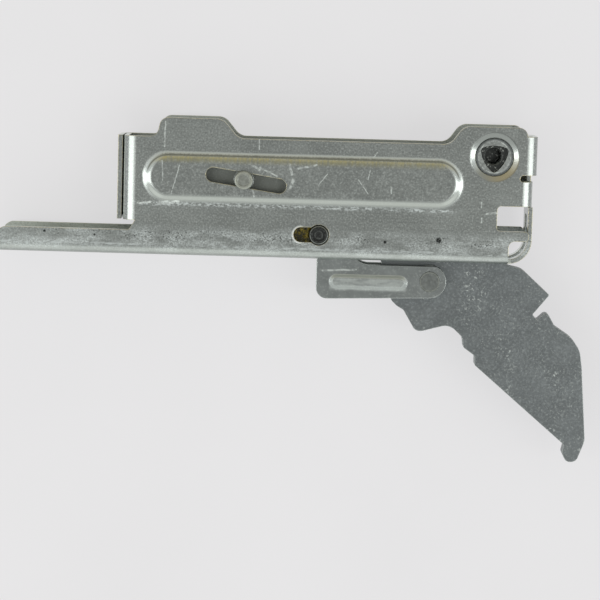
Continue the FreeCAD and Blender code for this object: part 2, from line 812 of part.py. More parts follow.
def drive_gap():
    """The claw's tooth gap about the pivot: the drive roller's involute paths, with play on both sides.

    The roller's line is tangent to the drive circle, so its path over the turning claw is an involute and
    each flank of the gap is a curve parallel to it. Both start from the round floor of the gap.
    """
    base = size("drive_radius")
    wide = size("drive_roller_radius") + size("drive_play")
    angle = math.radians(90 - size("slide_angle") - size("drive_middle_angle"))

    def flank(roll, hand):
        radial = base * (math.cos(roll) + roll * math.sin(roll)) - wide * math.sin(roll)
        sideways = base * (math.sin(roll) - roll * math.cos(roll)) + wide * math.cos(roll)
        return turned_point(radial, hand * sideways)

    def turned_point(radial, sideways):
        x = radial * math.cos(angle) - sideways * math.sin(angle)
        y = radial * math.sin(angle) + sideways * math.cos(angle)
        return Vector(size("pivot_x") + x, size("pivot_y") + y, 0)

    last = math.radians(size("drive_half_swing")) * 1.35
    mouth = 2 * size("heel_radius")
    left_top = turned_point(mouth, 2 * wide)
    right_top = turned_point(mouth, -2 * wide)
    return [
        Part.Arc(flank(0, 1), turned_point(base - wide, 0), flank(0, -1)),
        Part.Arc(flank(0, -1), flank(last / 2, -1), flank(last, -1)),
        Part.LineSegment(flank(last, -1), right_top),
        Part.LineSegment(right_top, left_top),
        Part.LineSegment(left_top, flank(last, 1)),
        Part.Arc(flank(last, 1), flank(last / 2, 1), flank(0, 1)),
    ]


def claw_outline():
    """The claw's side view: the edge below the heel, closed by the round heel about the pivot."""
    pivot = Vector(size("pivot_x"), size("pivot_y"), 0)
    radius = size("heel_radius")

    def heel_point(degrees):
        turn = math.radians(degrees)
        return pivot + Vector(radius * math.cos(turn), radius * math.sin(turn), 0)

    right = heel_point(size("heel_right_angle"))
    left = heel_point(size("heel_left_angle"))
    middle = heel_point((size("heel_right_angle") + size("heel_left_angle")) / 2)
    edges = rounded([(left.x, left.y, 0)] + CLAW_EDGE + [(right.x, right.y, 0)])
    chord = [edge for edge in edges if joins(edge, left, right)]
    edges.remove(chord[0])
    edges.append(Part.Arc(right, middle, left))
    return edges


def joins(edge, first, second):
    """Whether a straight edge runs between two points, either way round."""
    if not isinstance(edge, Part.LineSegment):
        return False
    ends = (edge.StartPoint, edge.EndPoint)
    forward = ends[0].isEqual(first, 1e-6) and ends[1].isEqual(second, 1e-6)
    backward = ends[0].isEqual(second, 1e-6) and ends[1].isEqual(first, 1e-6)
    return forward or backward


def make_claw():
    """The thick claw with its tooth gap, and the bush pressed into it."""
    body = new_body("claw")
    half = f"({cell('claw_thickness')} / 2)"
    pad(body, "claw_plate", "XY_Plane", f"-{half}", claw_outline(), cell("claw_thickness"))
    pocket(body, "claw_gap", "XY_Plane", f"-{half}", drive_gap(), cell("claw_thickness"))
    bore = disc(size("pivot_x"), size("pivot_y"), size("claw_bush_radius"))
    pocket(body, "claw_bore", "XY_Plane", f"-{half}", bore, cell("claw_thickness"))
    bush = ring("claw_bush", f"-{half}", f"2 * {half}", cell("claw_bush_radius"),
                f"{cell('pivot_rivet_radius')} + {cell('running_play')}")
    place_on(bush, "pivot_x", "pivot_y")


def make_slide_plate(label, sign):
    """One slide plate: a bar along the guide slot with an arm that reaches down to the drive pin."""
    body = new_body(label)
    along = slide_direction()
    guide = guide_axis()
    pin = drive_axis()
    elbow = guide + along * size("slide_bar_right")
    near = f"{sign} * {cell('slide_gap')}"
    far = f"{sign} * ({cell('slide_gap')} + {cell('slide_thickness')})"
    low = near if sign > 0 else far
    bar = stadium(guide - along * size("slide_bar_left"), elbow, size("slide_bar_radius"))
    arm = stadium(elbow, pin, size("slide_arm_radius"))
    pad(body, label + "_bar", "XY_Plane", low, bar, cell("slide_thickness"))
    pad(body, label + "_arm", "XY_Plane", low, arm, cell("slide_thickness"))
    play = size("fit_play")
    holes = disc(guide.x, guide.y, size("guide_shank_radius") + play)
    holes += disc(pin.x, pin.y, size("drive_pin_radius") + play)
    pocket(body, label + "_holes", "XY_Plane", low, holes, cell("slide_thickness"))
    return body


def make_guide():
    """The guide rivet with a head outside each wall, and the sleeve and bushes on its shank."""
    head = size("guide_head_radius")
    shank = size("guide_shank_radius")
    under = size("half_width") + size("bead_height") + size("guide_side_play")
    top = under + size("guide_head_height")
    edge = size("guide_head_round")
    dish = size("guide_head_dish")
    floor = top - size("guide_dish_depth")
    rivet = turned("guide_rivet", [
        (0, -floor, 0),
        (dish, -floor, 0),
        (dish, -top, 0),
        (head, -top, edge),
        (head, -under, 0),
        (shank, -under, 0),
        (shank, under, 0),
        (head, under, 0),
        (head, top, edge),
        (dish, top, 0),
        (dish, floor, 0),
        (0, floor, 0),
    ])
    inner = f"{cell('guide_shank_radius')} + {cell('fit_play')}"
    near = cell("slide_gap")
    far = f"({cell('slide_gap')} + {cell('slide_thickness')})"
    wall = f"({cell('half_width')} + {cell('bead_height')} - {cell('sheet')} - {cell('guide_side_play')})"
    spacers = [
        ring("guide_sleeve", f"-{near}", f"2 * {near}", cell("guide_sleeve_radius"), inner),
        ring("front_guide_bush", far, f"{wall} - {far}", cell("guide_bush_radius"), inner),
        ring("back_guide_bush", f"-{wall}", f"{wall} - {far}", cell("guide_bush_radius"), inner),
    ]
    for body in [rivet] + spacers:
        place_on(body, "guide_x", "guide_y")


def make_drive():
    """The drive pin in the slide's arms, and the roller on it that runs in the claw's tooth gap."""
    half = f"({cell('slide_gap')} + {cell('slide_thickness')})"
    pin = new_body("drive_pin")
    pad(pin, "drive_pin_shank", "XY_Plane", f"-{half}", disc(0, 0, size("drive_pin_radius")), f"2 * {half}")
    inside = f"({cell('slide_gap')} - 2 * {cell('running_play')})"
    roller = ring("drive_roller", f"-{inside}", f"2 * {inside}", cell("drive_roller_radius"),
                  f"{cell('drive_pin_radius')} + {cell('running_play')}")
    for body in (pin, roller):
        body.Placement = FreeCAD.Placement(drive_axis(), FreeCAD.Rotation())


def spring_placement(distance):
    """A frame at a distance from the guide rivet: Z runs along the spring and Y points straight up."""
    back = slide_direction() * -1
    upright = Vector(0, 0, 1)
    turn = FreeCAD.Rotation(upright.cross(back), upright, back, "ZYX")
    return FreeCAD.Placement(guide_axis() + back * distance, turn)


def flange_distance():
    """How far the left end flange lies from the guide rivet, along the spring."""
    wall_x = size("front_left_face") + size("sheet")
    return (guide_axis().x - wall_x) / slide_direction().x


def cup_lean():
    """How much further the cup's back reaches at one side than on its axis, as the spring lies aslant."""
    return size("cup_radius") * math.tan(math.radians(size("slide_angle")))


def cup_floor_distance():
    """How far the floor of the cup, where the spring ends, lies from the guide rivet."""
    return flange_distance() - cup_lean() - size("cup_floor")


def make_spring():
    """The coil spring between the plunger's collar and the cup, as half turns that each lean one way."""
    wire = size("spring_wire_radius")
    mean = size("spring_mean_radius")
    start = size("spring_start") + wire
    half_turns = round(2 * size("spring_turns"))
    climb = (cup_floor_distance() - wire - start) / half_turns
    lean = math.atan2(climb, 2 * mean)
    coil = []
    for index in range(half_turns):
        side = 1 if index % 2 == 0 else -1
        first = Vector(side * mean, 0, index * climb)
        last = Vector(-side * mean, 0, (index + 1) * climb)
        axis = Vector(side * math.sin(lean), 0, math.cos(lean))
        section = Part.Face(Part.Wire(Part.Circle(first, Vector(0, 1, 0), wire).toShape()))
        coil.append(section.revolve((first + last) / 2, axis, 180))
    body = document.addObject("Part::Feature", "spring")
    body.Shape = coil[0].multiFuse(coil[1:])
    body.Placement = spring_placement(start)
    pieces.append(body)


def make_spring_ends():
    """The plunger, whose saddle sits on the guide sleeve, and the cup on the left end flange."""
    collar_end = size("spring_start")
    collar_start = size("plunger_collar_start")
    rod_end = collar_end + size("plunger_rod_length")
    rod = size("plunger_rod_radius")
    collar = size("plunger_collar_radius")
    plunger = turned("spring_plunger", [
        (0, collar_start, 0),
        (collar, collar_start, 0),
        (collar, collar_end, 0),
        (rod, collar_end, 0),
        (rod, rod_end, rod / 3),
        (0, rod_end, 0),
    ])
    saddle = disc(0, 0, size("guide_sleeve_radius") + size("running_play"))
    pocket(plunger, "saddle", "XZ_Plane", f"-{cell('plunger_collar_radius')}", saddle,
           f"2 * {cell('plunger_collar_radius')}")
    plunger.Placement = spring_placement(0)

    floor = cup_floor_distance()
    cup_radius = size("cup_radius")
    lip_inside = cup_radius - size("cup_lip_wall")
    run = flange_distance()
    lean = cup_lean()
    cup = turned("spring_cup", [
        (0, floor, 0),
        (lip_inside, floor, 0),
        (lip_inside, floor - size("cup_lip"), 0),
        (cup_radius, floor - size("cup_lip"), 0),
        (cup_radius, run + 2 * lean, 0),
        (0, run + 2 * lean, 0),
    ])
    cup.Placement = spring_placement(0)
    reach = 2 * cup_radius
    slope = math.tan(math.radians(size("slide_angle")))
    behind = rounded([
        (-reach, run + reach * slope, 0),
        (reach, run - reach * slope, 0),
        (reach, run + 2 * reach, 0),
        (-reach, run + 2 * reach, 0),
    ])
    half = f"2 * {cell('cup_radius')}"
    pocket(cup, "square_back", "XZ_Plane", f"-{half}", behind, f"2 * {half}")


def write_pieces():
    """Checks every object and every piece, then writes one file for each piece."""
    document.recompute()
    for item in document.Objects:
        if "Invalid" in item.State or "Error" in item.State:
            raise RuntimeError(f"{item.Label} failed: {item.State}")
    for piece in pieces:
        if piece.Shape.isNull() or not piece.Shape.isValid():
            raise RuntimeError(f"{piece.Label} has no valid shape")
    os.makedirs("parts", exist_ok=True)
    for piece in pieces:
        piece.Shape.exportStep(f"parts/{piece.Label}.step")
        print(piece.Label, round(piece.Shape.Volume, 1), len(piece.Shape.Solids))


make_channel()
make_threaded_spacer()
make_carrier("front_carrier", 1)
make_carrier("back_carrier", -1)
make_carrier_pin()
make_carrier_spacers()
make_pivot()
make_claw()
make_slide_plate("front_slide_plate", 1)
make_slide_plate("back_slide_plate", -1)
make_guide()
make_drive()
make_spring()
make_spring_ends()
write_pieces()
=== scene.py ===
"""Looks of an oven door hinge: finishes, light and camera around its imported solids, in metres."""

import json
import math

import bpy
from mathutils import Matrix, Vector, noise


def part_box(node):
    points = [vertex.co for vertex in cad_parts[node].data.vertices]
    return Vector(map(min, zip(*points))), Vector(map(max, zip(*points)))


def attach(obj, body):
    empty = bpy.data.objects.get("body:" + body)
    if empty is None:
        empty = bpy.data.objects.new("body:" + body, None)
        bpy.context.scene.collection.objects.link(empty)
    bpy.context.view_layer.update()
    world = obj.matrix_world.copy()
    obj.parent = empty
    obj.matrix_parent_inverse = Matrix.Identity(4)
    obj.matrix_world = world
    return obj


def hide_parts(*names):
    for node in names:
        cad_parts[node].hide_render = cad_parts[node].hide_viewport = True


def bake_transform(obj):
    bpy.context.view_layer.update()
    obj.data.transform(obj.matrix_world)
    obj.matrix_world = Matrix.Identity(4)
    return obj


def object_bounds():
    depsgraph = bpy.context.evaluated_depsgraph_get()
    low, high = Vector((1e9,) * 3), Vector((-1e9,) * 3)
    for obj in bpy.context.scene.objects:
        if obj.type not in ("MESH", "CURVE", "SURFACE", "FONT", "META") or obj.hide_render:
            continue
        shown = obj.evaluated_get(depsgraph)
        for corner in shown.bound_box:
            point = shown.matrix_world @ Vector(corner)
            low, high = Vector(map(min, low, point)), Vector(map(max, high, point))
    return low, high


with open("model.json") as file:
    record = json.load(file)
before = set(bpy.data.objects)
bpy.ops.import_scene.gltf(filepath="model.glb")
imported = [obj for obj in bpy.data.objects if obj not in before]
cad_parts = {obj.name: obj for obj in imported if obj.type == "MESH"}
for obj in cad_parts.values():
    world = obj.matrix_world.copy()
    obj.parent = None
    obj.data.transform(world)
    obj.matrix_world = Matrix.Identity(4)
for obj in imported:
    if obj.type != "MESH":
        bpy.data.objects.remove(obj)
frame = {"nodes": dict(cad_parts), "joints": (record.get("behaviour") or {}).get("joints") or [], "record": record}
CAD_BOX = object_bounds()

MM = 0.001
KEYHOLE_NECK = 2.15 * MM
KEYHOLE_RUN = 5.0 * MM
NODES = frame["nodes"]


# Materials


class Paint:
    """One metal under construction: a shader, and short calls that add the nodes which feed it."""

    def __init__(self, name, metallic=1.0):
        self.material = bpy.data.materials.new(name)
        self.material.use_nodes = True
        self.tree = self.material.node_tree
        self.shader = self.tree.nodes["Principled BSDF"]
        self.shader.inputs["Metallic"].default_value = metallic
        coordinates = self.add("ShaderNodeTexCoord")
        self.facing = coordinates.outputs["Normal"]
        self.place = self.vector("SCALE", coordinates.outputs["Object"], factor=1 / MM)
        parts = self.add("ShaderNodeSeparateXYZ")
        self.feed(parts.inputs[0], self.place)
        self.x, self.y, self.z = parts.outputs
        self.flat = self.vector("MULTIPLY", self.place, (1, 1, 0))

    def add(self, kind, **settings):
        """Adds a node of one kind and sets its properties."""
        node = self.tree.nodes.new(kind)
        for key, value in settings.items():
            setattr(node, key, value)
        return node

    def feed(self, socket, value):
        """Links a socket, or sets a number or vector on it."""
        if isinstance(value, bpy.types.NodeSocket):
            self.tree.links.new(value, socket)
        else:
            socket.default_value = value

    def vector(self, operation, first, second=None, factor=None):
        """One step of vector arithmetic, which gives a number for a product, a distance or a length."""
        node = self.add("ShaderNodeVectorMath", operation=operation)
        self.feed(node.inputs[0], first)
        if second is not None:
            self.feed(node.inputs[1], second)
        if factor is not None:
            self.feed(node.inputs["Scale"], factor)
        number = operation in ("DOT_PRODUCT", "DISTANCE", "LENGTH")
        return node.outputs["Value" if number else "Vector"]

    def math(self, operation, first, second=0.0, clamp=False):
        """One step of arithmetic."""
        node = self.add("ShaderNodeMath", operation=operation, use_clamp=clamp)
        self.feed(node.inputs[0], first)
        self.feed(node.inputs[1], second)
        return node.outputs[0]

    def times(self, *values):
        """The product of several masks or numbers."""
        product = values[0]
        for value in values[1:]:
            product = self.math("MULTIPLY", product, value)
        return product

    def most(self, values):
        """The largest of several masks at each point."""
        largest = values[0]
        for value in values[1:]:
            largest = self.math("MAXIMUM", largest, value)
        return largest

    def ramp(self, value, zero, one, low=0.0, high=1.0):
        """A smooth step from low, where the value is at zero, to high, where it is at one."""
        node = self.add("ShaderNodeMapRange", interpolation_type="SMOOTHSTEP")
        self.feed(node.inputs["Value"], value)
        self.feed(node.inputs["From Min"], zero)
        self.feed(node.inputs["From Max"], one)
        self.feed(node.inputs["To Min"], low)
        self.feed(node.inputs["To Max"], high)
        return node.outputs["Result"]

    def band(self, value, low, high, soft):
        """A mask between two values, with soft sides."""
        rising = self.ramp(value, low - soft, low + soft)
        falling = self.ramp(value, high + soft, high - soft)
        return self.times(rising, falling)

    def noise(self, scale, stretch=(1, 1, 1), detail=3.0, shift=0.0):
        """Cloudy noise with features about one over the scale in millimetres."""
        moved = self.vector("ADD", self.vector("MULTIPLY", self.place, stretch), (shift, shift, shift))
        node = self.add("ShaderNodeTexNoise")
        self.feed(node.inputs["Vector"], moved)
        self.feed(node.inputs["Scale"], scale)
        self.feed(node.inputs["Detail"], detail)
        return node.outputs["Fac"]

    def side(self, direction, zero, one):
        """A mask on the faces that look towards a direction of the part's own frame."""
        return self.ramp(self.vector("DOT_PRODUCT", self.facing, direction), zero, one)

    def stroke(self, start, end, width):
        """A mask along one scratch between two points of a wall, in millimetres."""
        start = Vector((*start, 0))
        along = Vector((*end, 0)) - start
        offset = self.vector("SUBTRACT", self.flat, start)
        share = self.vector("DOT_PRODUCT", offset, along / along.length_squared)
        foot = self.vector("SCALE", along, factor=self.math("ADD", share, 0.0, clamp=True))
        return self.ramp(self.vector("DISTANCE", offset, foot), width, 0.3 * width)

    def spot(self, centre, radius):
        """A mask over one round spot of a wall, in millimetres."""
        return self.ramp(self.vector("DISTANCE", self.flat, (*centre, 0)), radius, 0.4 * radius)

    def wander(self, amount, scale):
        """Lets the strokes and spots that follow wander sideways by up to an amount in millimetres."""
        node = self.add("ShaderNodeTexNoise")
        self.feed(node.inputs["Vector"], self.place)
        self.feed(node.inputs["Scale"], scale)
        centred = self.vector("SUBTRACT", node.outputs["Color"], (0.5, 0.5, 0.5))
        moved = self.vector("ADD", self.place, self.vector("SCALE", centred, factor=2 * amount))
        self.flat = self.vector("MULTIPLY", moved, (1, 1, 0))

    def turn_over(self, fold):
        """Lets the strokes and spots that follow lie mirrored about an upright line on the back wall."""
        sign = self.math("SIGN", self.z)
        factor = self.add("ShaderNodeCombineXYZ")
        self.feed(factor.inputs["X"], sign)
        self.feed(factor.inputs["Y"], 1.0)
        offset = self.add("ShaderNodeCombineXYZ")
        self.feed(offset.inputs["X"], self.times(self.math("SUBTRACT", 1.0, sign), fold))
        turned = self.vector("MULTIPLY", self.flat, factor.outputs[0])
        self.flat = self.vector("ADD", turned, offset.outputs[0])

    def mix(self, mask, below, above):
        """Colours or sockets: above where the mask is 1, below where it is 0."""
        node = self.add("ShaderNodeMix", data_type="RGBA")
        self.feed(node.inputs["Factor"], mask)
        for socket, value in ((node.inputs[6], below), (node.inputs[7], above)):
            self.feed(socket, value if isinstance(value, bpy.types.NodeSocket) else (*value, 1.0))
        return node.outputs[2]

    def rounded(self, edge):
        """The surface's normal with its edges rounded by a radius in millimetres."""
        node = self.add("ShaderNodeBevel", samples=6)
        node.inputs["Radius"].default_value = edge * MM
        return node.outputs["Normal"]

    def edges(self, width):
        """A mask along the edges of the solid, about a width in millimetres to each side."""
        true_normal = self.add("ShaderNodeNewGeometry").outputs["True Normal"]
        return self.ramp(self.vector("DOT_PRODUCT", self.rounded(width), true_normal), 0.99, 0.85)

    def finish(self, colour, roughness, height=None, depth=0.02, edge=0.25):
        """Feeds the shader: colour, roughness, rounded edges and a relief whose depth is in millimetres."""
        self.feed(self.shader.inputs["Base Color"], colour)
        self.feed(self.shader.inputs["Roughness"], roughness)
        normal = self.rounded(edge)
        if height is not None:
            bump = self.add("ShaderNodeBump")
            bump.inputs["Distance"].default_value = depth * MM
            self.feed(bump.inputs["Height"], height)
            self.feed(bump.inputs["Normal"], normal)
            normal = bump.outputs["Normal"]
        self.feed(self.shader.inputs["Normal"], normal)
        return self.material


def grey(value, warm=0.0):
    """The slightly green grey of zinc, which leans towards straw where warm is above 0 and blue below."""
    return (value * (0.975 + 0.5 * warm), value * (1.045 + 0.2 * warm), value * (0.985 - warm))


# Places on the channel, in millimetres.
INNER_FACE = 7.8
WALL_FACE = 9.0
BEAD_RISE = 0.8
BEAD_TOP = -1.0
BEAD_SPAN = (-98.0, -7.8)
STRAW_FADE = (-4.3, -2.4)
STRAW_SPAN = (-95.0, -20.0)
BACK_FOLD = -50.0
FLANGE_FOOT = -21.0
FLANGE_START = -100.0
END_PLATE_START = 5.5
DIMPLE_REACH = (5.3, 6.95)
DIMPLE_RIM = (6.2, 6.9)
SCUFF_BAND = (-28.4, -22.2)
RUB_LINE = (-27.4, -26.6)
FLECK_LINE = (-15.9, -14.9)
FLECK_SPAN = (-99.0, -10.0)
PIT_BAND = (-25.6, -22.6)
ARRIS_WIDTH = 0.4

STRAW_BEAD = (0.58, 0.54, 0.28)
STRAW_DIMPLE = (0.55, 0.46, 0.24)
STRAW_ARRIS = (0.75, 0.66, 0.36)


def zinc_sheet():
    """The channel: rolled zinc sheet, scuffed and pitted low down, straw-coloured on its upper slopes, with
    painted highlights and shade on its folds, bead and dimple, and painted light on its inner faces.
    """
    paint = Paint("zinc_sheet")
    height = paint.math("ABSOLUTE", paint.z)
    sidelong = paint.math("ABSOLUTE", paint.vector("DOT_PRODUCT", paint.facing, (1, 0, 0)))
    grain = paint.noise(2.1, detail=5)
    bends = paint.band(sidelong, 0.12, 0.6, 0.06)
    scuffs = scuffed_bands(paint)
    pits = pitted_band(paint)
    inner = inner_faces(paint, height)

    colour = rolled_metal(paint, grain)
    colour = smooth_bends(paint, colour, bends, height)
    colour = paint.mix(paint.times(scuffs, 0.85), colour, grey(0.84, -0.03))
    colour = paint.mix(paint.times(pits, 0.9), colour, grey(0.10))
    colour = bead_shoulder(paint, colour, height)
    colour = keyhole_rim_highlight(paint, colour)
    colour = dimple_slope(paint, colour)
    colour = painted_arris_reflection(paint, colour)
    # Painted light: the inner faces of the walls are lightened to stand in for light reaching inside the channel.
    colour = paint.mix(paint.times(inner, 0.6), colour, grey(0.60, 0.03))
    colour = wall_marks(paint, colour, height)

    polished = paint.ramp(sidelong, 0.05, 0.3, 0.31, 0.21)
    dulled = paint.math("ADD", paint.times(scuffs, 0.14), paint.times(inner, 0.3))
    roughness = paint.math("ADD", polished, dulled)
    grained = paint.times(grain, paint.ramp(bends, 0, 1, 0.5, 0.15))
    relief = paint.math("SUBTRACT", grained, paint.times(pits, 0.6))
    return paint.finish(colour, roughness, relief)


def rolled_metal(paint, grain):
    """The bare sheet: cloudy, grained and rolled lengthwise, with drawn streaks on the folded ends and painted
    shade on the outer half of the end folds.
    """
    clouds = paint.ramp(paint.noise(0.10, detail=5), 0.35, 0.65)
    rolled = paint.noise(0.9, stretch=(0.10, 1.2, 1.2), shift=20)
    colour = paint.mix(clouds, grey(0.37), grey(0.43))
    colour = paint.mix(paint.times(paint.ramp(grain, 0.48, 0.72), 0.75), colour, grey(0.65))
    colour = paint.mix(paint.times(paint.ramp(grain, 0.5, 0.3), 0.65), colour, grey(0.26))
    colour = paint.mix(paint.times(paint.ramp(rolled, 0.5, 0.72), 0.30), colour, grey(0.29))
    sideways = paint.most([paint.side((1, 0, 0), 0.5, 0.9), paint.side((-1, 0, 0), 0.5, 0.9)])
    drawn = paint.noise(1.6, stretch=(1, 0.03, 1.3), detail=3, shift=230)
    colour = paint.mix(paint.times(sideways, paint.ramp(drawn, 0.45, 0.65), 0.6), colour, grey(0.20, -0.04))
    # Painted shade: the outer half of each end fold, facing sideways, is darkened to narrow its gleam.
    folds = paint.most([paint.side((1, 0, 0), 0.42, 0.62), paint.side((-1, 0, 0), 0.42, 0.62)])
    return paint.mix(paint.times(folds, 0.12), colour, grey(0.20, -0.05))


def smooth_bends(paint, colour, bends, height):
    """Evens out the metal on the lower fold and the end folds, and paints a highlight on the ends of the bead."""
    lower_bend = paint.side((0, -1, 0), 0.08, 0.3)
    colour = paint.mix(paint.times(lower_bend, 0.6), colour, grey(0.42))
    colour = paint.mix(paint.times(bends, 0.75), colour, grey(0.42))
    outside = paint.ramp(height, INNER_FACE, INNER_FACE + 0.3)
    # Painted highlight: the sloped ends of the bead, outside the channel, are lightened.
    bead_end_highlight = paint.times(bends, paint.band(paint.x, *BEAD_SPAN, 0.3), outside)
    return paint.mix(paint.times(bead_end_highlight, 0.7), colour, grey(0.66))


def painted_arris_reflection(paint, colour):
    """Painted warm reflection: a straw-coloured line along the upward-facing edges, broken up by noise."""
    # Painted reflection: the noise below only breaks the straw line into patches; it is not wear.
    rubbed = paint.ramp(paint.noise(0.9, shift=260), 0.35, 0.6, 0.35, 1.0)
    arris = paint.times(paint.edges(ARRIS_WIDTH), paint.side((0, 1, 0.25), 0.1, 0.2), rubbed)
    return paint.mix(paint.times(arris, 0.8), colour, STRAW_ARRIS)


def inner_faces(paint, height):
    """A mask over the inner faces of both walls, without the cut edges of the folded ends."""
    flat_faces = paint.most([paint.side((0, 0, 1), 0.6, 0.9), paint.side((0, 0, -1), 0.6, 0.9)])
    return paint.times(flat_faces, inside_ends(paint), paint.ramp(height, INNER_FACE + 0.1, INNER_FACE))


def wall_marks(paint, colour, height):
    """White scratches and dark pits on both walls, which come last because they shift paint.flat."""
    outer = paint.ramp(height, WALL_FACE - 0.5, WALL_FACE - 0.2)
    paint.wander(0.25, 0.5)
    paint.turn_over(BACK_FOLD)
    scratches = paint.most([paint.stroke(*line) for line in WALL_SCRATCHES])
    broken = paint.ramp(paint.noise(0.9, detail=4, shift=170), 0.34, 0.58, 0.15, 1.0)
    colour = paint.mix(paint.times(scratches, broken, outer, 0.85), colour, grey(1.0))
    holes = paint.most([paint.spot(centre, radius) for centre, radius in WALL_PITS])
    ragged = paint.ramp(paint.noise(2.0, detail=3, shift=200), 0.28, 0.45)
    return paint.mix(paint.times(holes, ragged, outer), colour, grey(0.04))


def inside_ends(paint):
    """A mask over the channel without the cut edges of its folded ends."""
    beside = paint.most([
        paint.ramp(paint.x, FLANGE_START - 0.4, FLANGE_START),
        paint.ramp(paint.y, FLANGE_FOOT, FLANGE_FOOT - 1),
    ])
    return paint.times(beside, paint.ramp(paint.x, END_PLATE_START + 0.4, END_PLATE_START))


def dimple_slope(paint, colour):
    """The sunk ring round the spacer: a painted highlight at its left and right sides, painted shade above, below
    and towards its outer edge so that it fades into the wall, and straw colour low on the right.
    """
    away = paint.vector("LENGTH", paint.flat)
    ring = paint.band(away, *DIMPLE_REACH, 0.1)
    # Painted highlight: the ring is lightened at its left and right sides.
    beside = paint.times(ring, paint.ramp(paint.math("ABSOLUTE", paint.y), 4.0, 1.5))
    colour = paint.mix(paint.times(beside, 0.7), colour, grey(0.60))
    # Painted shade: the ring is darkened above, below and towards its outer edge.
    above = paint.times(paint.ramp(paint.y, 1.0, 5.0), 0.85)
    rim = paint.times(paint.ramp(away, *DIMPLE_RIM), 0.6)
    below = paint.times(paint.ramp(paint.y, -1.0, -5.0), 0.75)
    colour = paint.mix(paint.times(ring, paint.most([above, rim, below])), colour, grey(0.24))
    straw = paint.times(ring, paint.ramp(paint.y, 1.0, -4.0), paint.ramp(paint.x, -4.0, 3.0))
    return paint.mix(paint.times(straw, 0.5), colour, STRAW_DIMPLE)


def scuffed_bands(paint):
    """A mask over cloudy scuffs above the lower fold, a rubbed line in them, and flecks below the bead."""
    lower = paint.band(paint.y, *SCUFF_BAND, 1.6)
    patches = paint.ramp(paint.noise(0.32, stretch=(0.4, 1.1, 1), detail=5, shift=50), 0.36, 0.62, 0.1, 1.0)
    specks = paint.ramp(paint.noise(3.6, stretch=(0.7, 1, 1), detail=4, shift=60), 0.33, 0.70, 0.1, 0.9)
    rub_line = paint.band(paint.y, *RUB_LINE, 0.5)
    line_streaks = paint.ramp(paint.noise(1.3, stretch=(0.35, 1.2, 1), detail=6, shift=65), 0.40, 0.62)
    below_bead = paint.times(paint.band(paint.y, *FLECK_LINE, 0.5), paint.band(paint.x, *FLECK_SPAN, 3))
    flecks = paint.ramp(paint.noise(2.4, stretch=(0.5, 1.1, 1), detail=6, shift=80), 0.42, 0.66)
    return paint.most([
        paint.times(lower, patches, specks),
        paint.times(rub_line, line_streaks, 0.8),
        paint.times(below_bead, flecks),
    ])


def pitted_band(paint):
    """A mask over small dark pits among the scuffs, thicker in some places than in others."""
    band = paint.band(paint.y, *PIT_BAND, 0.9)
    places = paint.ramp(paint.noise(0.12, detail=2, shift=90), 0.42, 0.58, 0.2, 1.0)
    return paint.times(band, places, paint.ramp(paint.noise(1.9, detail=4, shift=110), 0.52, 0.64))


def bead_shoulder(paint, colour, height):
    """The bead's slopes: on the upper a painted highlight line, a painted shade band and fading straw; on the
    lower an even grey with painted shade lines at its foot and brow.
    """
    rise = paint.math("SUBTRACT", height, WALL_FACE)
    upward = paint.side((0, 1, 0), 0.06, 0.2)
    downward = paint.side((0, -1, 0), 0.06, 0.2)

    strokes = paint.noise(1.7, stretch=(1.2, 0.12, 0.12), detail=4, shift=140)
    brushed = paint.ramp(strokes, 0.3, 0.65, 0.35, 1.0)
    crest = paint.ramp(rise, 0.55 * BEAD_RISE, 0.8 * BEAD_RISE)
    fading = paint.times(paint.ramp(paint.y, *STRAW_FADE), paint.ramp(paint.y, BEAD_TOP + 1, BEAD_TOP))
    weaker = paint.ramp(paint.x, *STRAW_SPAN, 0.9, 0.7)
    colour = paint.mix(paint.times(crest, fading, brushed, weaker), colour, STRAW_BEAD)

    slope = paint.times(downward, paint.band(rise, 0.1 * BEAD_RISE, 0.95 * BEAD_RISE, 0.1))
    colour = paint.mix(paint.times(slope, 0.7), colour, grey(0.43, 0.02))
    # Painted shade: dark lines at the foot and the brow of the downward slope.
    foot = paint.ramp(rise, 0.4 * BEAD_RISE, 0.1 * BEAD_RISE)
    brow = paint.ramp(rise, 0.75 * BEAD_RISE, 0.9 * BEAD_RISE)
    colour = paint.mix(paint.times(slope, paint.most([foot, brow]), 0.6), colour, grey(0.27))

    # Painted shade: a dark, warm band across the upward slope.
    dark = paint.times(upward, paint.band(rise, 0.33 * BEAD_RISE, 0.6 * BEAD_RISE, 0.06))
    colour = paint.mix(paint.times(dark, 0.7), colour, grey(0.17, 0.10))
    # Painted highlight: a pale line at the foot of the upward slope.
    pale = paint.times(upward, paint.ramp(rise, 0.28 * BEAD_RISE, 0.1 * BEAD_RISE))
    return paint.mix(paint.times(pale, 0.8), colour, grey(0.80))


def keyhole_rim_highlight(paint, colour):
    """Painted highlight: a white rim at the left end of the keyhole."""
    low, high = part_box("carrier_pin")
    pin = (low + high) / 2 / MM
    neck = Vector((pin.x - KEYHOLE_RUN / MM, pin.y, 0))
    radius = KEYHOLE_NECK / MM
    away = paint.vector("DISTANCE", paint.flat, neck)
    leftward = paint.ramp(paint.x, neck.x + 1.2, neck.x - 0.6)
    # Painted highlight: a white crescent round the left end of the keyhole's neck.
    rim = paint.times(paint.ramp(away, radius + 0.55, radius + 0.25), leftward)
    return paint.mix(rim, colour, grey(1.0))


